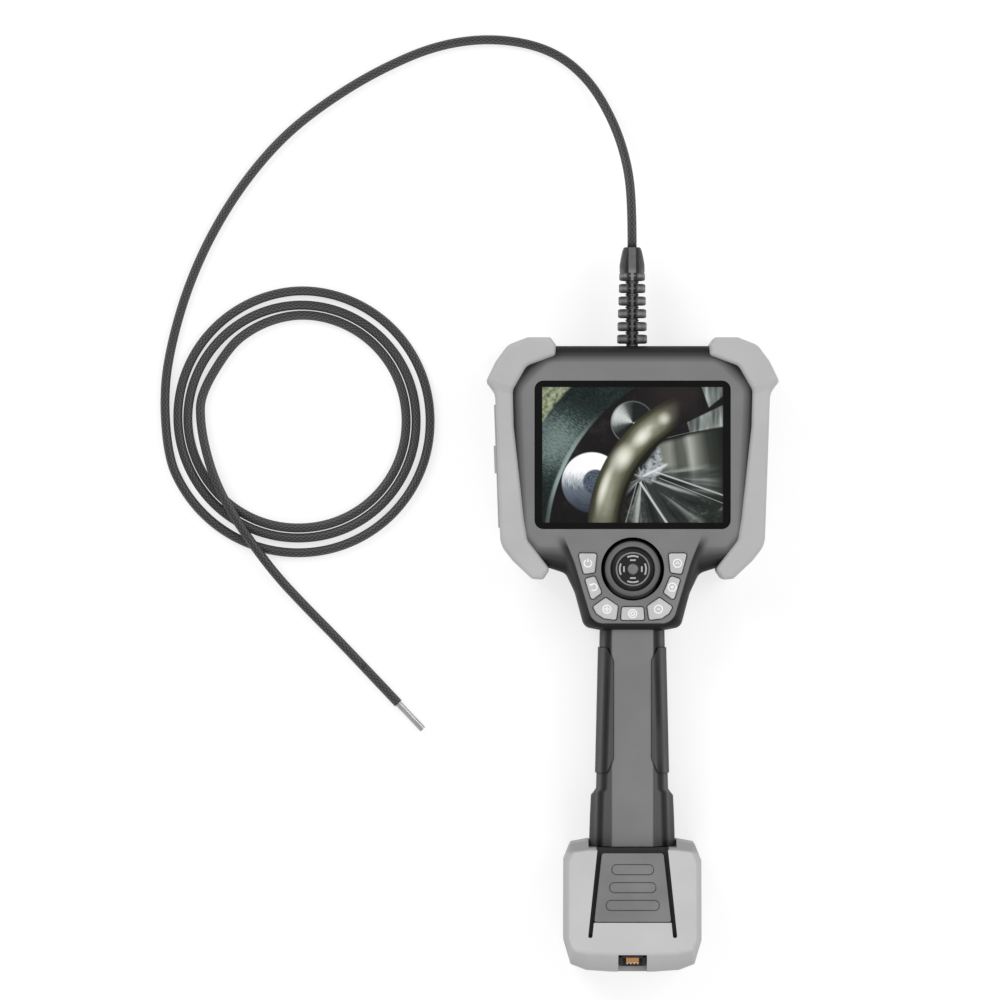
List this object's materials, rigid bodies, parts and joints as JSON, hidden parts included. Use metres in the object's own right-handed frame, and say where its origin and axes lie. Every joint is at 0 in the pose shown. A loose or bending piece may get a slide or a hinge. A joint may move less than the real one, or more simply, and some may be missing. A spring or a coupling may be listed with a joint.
{
  "type": "inspection camera",
  "caption": "Handheld inspection camera with a screen, joystick, keypad, slide-on battery and a long braided insertion tube with a steered steel tip.",
  "frame": {"origin": "middle of the back of the device, on the surface that it lies on", "axes": "+Y from the battery to the tube gland, +Z out of the screen, +X to the right as the screen is read"},
  "size_m": [0.3506, 0.5294, 0.0542],
  "materials": {
    "shell": "fine moulded texture, mid grey",
    "bumper": "light grey overmoulded rubber, satin",
    "seal": "black elastomer",
    "steel": "bright turned steel",
    "glass": "black printed border, glossy",
    "black": "black moulded plastic",
    "display": "lit display behind glass",
    "board": "green solder mask",
    "keys": "light grey keys with printed signs",
    "stick": "dark rubber thumb piece",
    "skirt": "grey rubber with rings",
    "brass": "machined brass",
    "aluminium": "plain aluminium",
    "relief": "black ribbed rubber",
    "grip": "dark soft rubber",
    "pack": "light grey moulded plastic",
    "latch": "dark grey textured plastic",
    "contact": "orange moulded contact block",
    "cell": "shrink-wrapped cells",
    "braid": "fine dark woven braid",
    "lens": "coated lens"
  },
  "bodies": {
    "housing": {"front_housing": "shell", "rear_housing": "shell", "housing_seal": "seal", "housing_screws": "steel", "bumper_left": "bumper", "bumper_right": "bumper", "port_block": "black", "screen_window": "glass", "screen_bezel": "black", "lcd_module": "display", "main_board": "board", "key_board": "board", "key_domes": "steel", "joystick_base": "black", "steering_frame": "aluminium", "steering_motors": "steel", "light_engine": "aluminium", "gland_bush": "brass", "strain_relief": "relief", "handle_front": "shell", "handle_rear": "shell", "handle_screws": "steel", "grip_left": "grip", "grip_right": "grip", "dock_block": "black", "dock_contacts": "brass", "cable_lead": "braid", "cable_coil": "braid", "cable_tail": "braid", "bend_ferrule": "steel"},
    "gimbal": {"gimbal_ring": "brass"},
    "stick": {"joystick_stem": "steel", "joystick_skirt": "skirt", "joystick_cap": "stick"},
    "pan_winder": {"pan_drum": "brass"},
    "tilt_winder": {"tilt_drum": "brass"},
    "port_flap": {"port_cover": "bumper"},
    "battery": {"pack_front": "pack", "pack_rear": "pack", "pack_cells": "cell", "pack_board": "board", "pack_screws": "steel", "charge_contact": "contact"},
    "latch": {"pack_latch": "latch"},
    "bend_1": {"bend_link_1": "braid"},
    "bend_2": {"bend_link_2": "braid"},
    "bend_3": {"bend_link_3": "braid"},
    "tip": {"bend_link_4": "braid", "tip_tube": "steel", "tip_lens": "lens", "tip_lights": "lens"},
    "key_power_button": {"key_power": "keys"},
    "key_back_button": {"key_back": "keys"},
    "key_light_button": {"key_light": "keys"},
    "key_record_button": {"key_record": "keys"},
    "key_mode_button": {"key_mode": "keys"},
    "key_zoom_button": {"key_zoom": "keys"},
    "key_menu_button": {"key_menu": "keys"}
  },
  "joints": [
    {"name": "joystick_pan", "type": "hinge", "parent": "housing", "child": "gimbal", "pos_m": [0, 0.0482, 0.0315], "axis": [0, 1, 0], "range_deg": [-20, 20], "stiffness_Nm_per_rad": 0.12},
    {"name": "joystick_tilt", "type": "hinge", "parent": "gimbal", "child": "stick", "pos_m": [0, 0.0482, 0.0315], "axis": [1, 0, 0], "range_deg": [-20, 20], "stiffness_Nm_per_rad": 0.12},
    {"name": "pan_drum_turn", "type": "hinge", "parent": "housing", "child": "pan_winder", "pos_m": [-0.024, 0.142, 0.016], "axis": [0, 0, 1], "range_deg": [-80, 80]},
    {"name": "tilt_drum_turn", "type": "hinge", "parent": "housing", "child": "tilt_winder", "pos_m": [-0.002, 0.142, 0.016], "axis": [0, 0, 1], "range_deg": [-80, 80]},
    {"name": "tip_pan_1", "type": "hinge", "parent": "housing", "child": "bend_1", "pos_m": [-0.14669, -0.01309, 0.00265], "axis": [0, 0, 1], "range_deg": [-35, 35]},
    {"name": "tip_tilt_1", "type": "hinge", "parent": "bend_1", "child": "bend_2", "pos_m": [-0.14257, -0.01745, 0.00265], "axis": [0.7268, 0.6869, 0], "range_deg": [-35, 35]},
    {"name": "tip_pan_2", "type": "hinge", "parent": "bend_2", "child": "bend_3", "pos_m": [-0.13845, -0.02181, 0.00265], "axis": [0, 0, 1], "range_deg": [-35, 35]},
    {"name": "tip_tilt_2", "type": "hinge", "parent": "bend_3", "child": "tip", "pos_m": [-0.13433, -0.02617, 0.00265], "axis": [0.7268, 0.6869, 0], "range_deg": [-35, 35]},
    {"name": "port_cover_swing", "type": "hinge", "parent": "housing", "child": "port_flap", "pos_m": [-0.07676, 0.106, 0.0084], "axis": [0.0351, -0.9994, 0], "range_deg": [0, 100]},
    {"name": "battery_slide", "type": "slide", "parent": "housing", "child": "battery", "axis": [0, -1, 0], "range_m": [0, 0.03]},
    {"name": "latch_slide", "type": "slide", "parent": "battery", "child": "latch", "axis": [0, 1, 0], "range_m": [0, 0.003], "stiffness_N_per_m": 900},
    {"name": "key_power_press", "type": "slide", "parent": "housing", "child": "key_power_button", "axis": [0, 0, -1], "range_m": [0, 0.0008], "stiffness_N_per_m": 1500},
    {"name": "key_back_press", "type": "slide", "parent": "housing", "child": "key_back_button", "axis": [0, 0, -1], "range_m": [0, 0.0008], "stiffness_N_per_m": 1500},
    {"name": "key_light_press", "type": "slide", "parent": "housing", "child": "key_light_button", "axis": [0, 0, -1], "range_m": [0, 0.0008], "stiffness_N_per_m": 1500},
    {"name": "key_record_press", "type": "slide", "parent": "housing", "child": "key_record_button", "axis": [0, 0, -1], "range_m": [0, 0.0008], "stiffness_N_per_m": 1500},
    {"name": "key_mode_press", "type": "slide", "parent": "housing", "child": "key_mode_button", "axis": [0, 0, -1], "range_m": [0, 0.0008], "stiffness_N_per_m": 1500},
    {"name": "key_zoom_press", "type": "slide", "parent": "housing", "child": "key_zoom_button", "axis": [0, 0, -1], "range_m": [0, 0.0008], "stiffness_N_per_m": 1500},
    {"name": "key_menu_press", "type": "slide", "parent": "housing", "child": "key_menu_button", "axis": [0, 0, -1], "range_m": [0, 0.0008], "stiffness_N_per_m": 1500}
  ],
  "couplings": [
    {"joint": "pan_drum_turn", "follows": "joystick_pan", "ratio": 4},
    {"joint": "tip_pan_1", "follows": "joystick_pan", "ratio": 1.75},
    {"joint": "tip_pan_2", "follows": "joystick_pan", "ratio": 1.75},
    {"joint": "tilt_drum_turn", "follows": "joystick_tilt", "ratio": 4},
    {"joint": "tip_tilt_1", "follows": "joystick_tilt", "ratio": 1.75},
    {"joint": "tip_tilt_2", "follows": "joystick_tilt", "ratio": 1.75}
  ]
}
